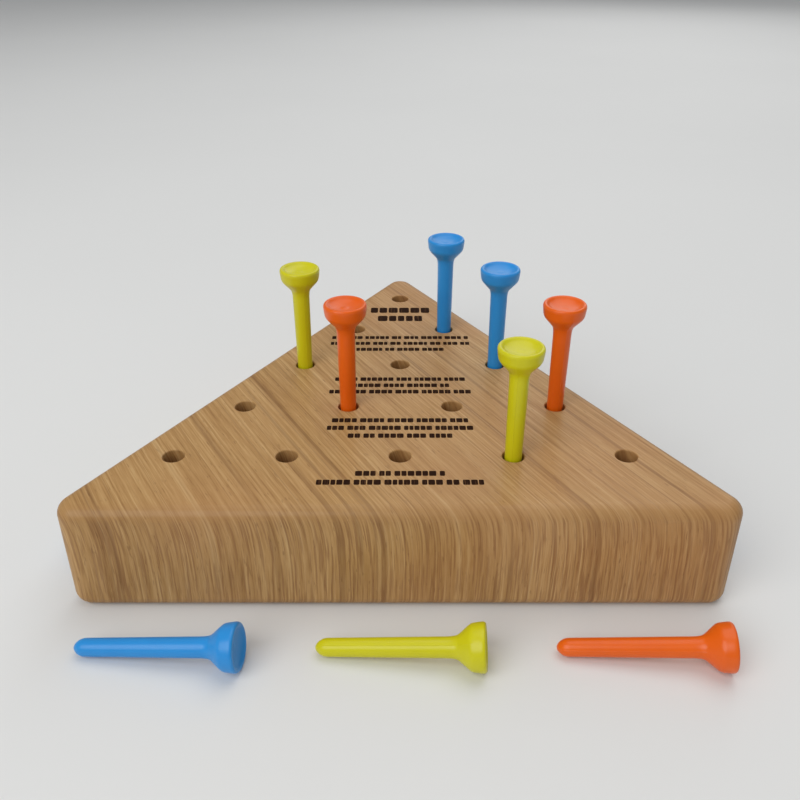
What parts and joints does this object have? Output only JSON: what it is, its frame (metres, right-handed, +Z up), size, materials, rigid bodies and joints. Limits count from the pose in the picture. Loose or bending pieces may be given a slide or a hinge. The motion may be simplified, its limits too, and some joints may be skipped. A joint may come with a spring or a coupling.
{
  "type": "triangle peg jump game",
  "caption": "Solid wooden triangular peg board with a triangular grid of drilled holes and loose plastic pegs in three colours, some standing in the holes and some lying beside it.",
  "frame": {"origin": "on the underside of the board, below the centre of the triangle of holes", "axes": "+Z up out of the board's top, +Y towards the apex of the triangle and away from the player, +X to the player's right"},
  "size_m": [0.113, 0.1068, 0.0392],
  "materials": {
    "board_wood": "satin, fine straight-grained light timber with narrow darker and paler growth lines",
    "blue_plastic": "satin to glossy injection moulding",
    "yellow_plastic": "satin to glossy injection moulding",
    "orange_plastic": "satin to glossy injection moulding",
    "printed_ink": "thin matt dark print on the top of the board, as plain bars with no lettering"
  },
  "bodies": {
    "board": {"board": "board_wood"},
    "blue_peg_1": {"blue_peg_1": "blue_plastic"},
    "blue_peg_2": {"blue_peg_2": "blue_plastic"},
    "blue_peg_3": {"blue_peg_3": "blue_plastic"},
    "blue_peg_4": {"blue_peg_4": "blue_plastic"},
    "blue_peg_5": {"blue_peg_5": "blue_plastic"},
    "yellow_peg_1": {"yellow_peg_1": "yellow_plastic"},
    "yellow_peg_2": {"yellow_peg_2": "yellow_plastic"},
    "yellow_peg_3": {"yellow_peg_3": "yellow_plastic"},
    "yellow_peg_4": {"yellow_peg_4": "yellow_plastic"},
    "yellow_peg_5": {"yellow_peg_5": "yellow_plastic"},
    "orange_peg_1": {"orange_peg_1": "orange_plastic"},
    "orange_peg_2": {"orange_peg_2": "orange_plastic"},
    "orange_peg_3": {"orange_peg_3": "orange_plastic"},
    "orange_peg_4": {"orange_peg_4": "orange_plastic"},
    "orange_peg_5": {"orange_peg_5": "orange_plastic"}
  },
  "joints": [
    {"name": "blue_peg_1_lift", "type": "slide", "parent": "board", "child": "blue_peg_1", "axis": [0, 0, 1], "range_m": [0, 0.03]},
    {"name": "blue_peg_2_lift", "type": "slide", "parent": "board", "child": "blue_peg_2", "axis": [0, 0, 1], "range_m": [0, 0.03]},
    {"name": "blue_peg_3_lift", "type": "slide", "parent": "board", "child": "blue_peg_3", "axis": [0, 0, 1], "range_m": [0, 0.03]},
    {"name": "blue_peg_4_lift", "type": "slide", "parent": "board", "child": "blue_peg_4", "axis": [0, 0, 1], "range_m": [0, 0.03]},
    {"name": "blue_peg_5_lift", "type": "slide", "parent": "board", "child": "blue_peg_5", "axis": [0, 0, 1], "range_m": [0, 0.03]},
    {"name": "yellow_peg_1_lift", "type": "slide", "parent": "board", "child": "yellow_peg_1", "axis": [0, 0, 1], "range_m": [0, 0.03]},
    {"name": "yellow_peg_2_lift", "type": "slide", "parent": "board", "child": "yellow_peg_2", "axis": [0, 0, 1], "range_m": [0, 0.03]},
    {"name": "yellow_peg_3_lift", "type": "slide", "parent": "board", "child": "yellow_peg_3", "axis": [0, 0, 1], "range_m": [0, 0.03]},
    {"name": "yellow_peg_4_lift", "type": "slide", "parent": "board", "child": "yellow_peg_4", "axis": [0, 0, 1], "range_m": [0, 0.03]},
    {"name": "yellow_peg_5_lift", "type": "slide", "parent": "board", "child": "yellow_peg_5", "axis": [0, 0, 1], "range_m": [0, 0.03]},
    {"name": "orange_peg_1_lift", "type": "slide", "parent": "board", "child": "orange_peg_1", "axis": [0, 0, 1], "range_m": [0, 0.03]},
    {"name": "orange_peg_2_lift", "type": "slide", "parent": "board", "child": "orange_peg_2", "axis": [0, 0, 1], "range_m": [0, 0.03]},
    {"name": "orange_peg_3_lift", "type": "slide", "parent": "board", "child": "orange_peg_3", "axis": [0, 0, 1], "range_m": [0, 0.03]},
    {"name": "orange_peg_4_lift", "type": "slide", "parent": "board", "child": "orange_peg_4", "axis": [0, 0, 1], "range_m": [0, 0.03]},
    {"name": "orange_peg_5_lift", "type": "slide", "parent": "board", "child": "orange_peg_5", "axis": [0, 0, 1], "range_m": [0, 0.03]}
  ]
}
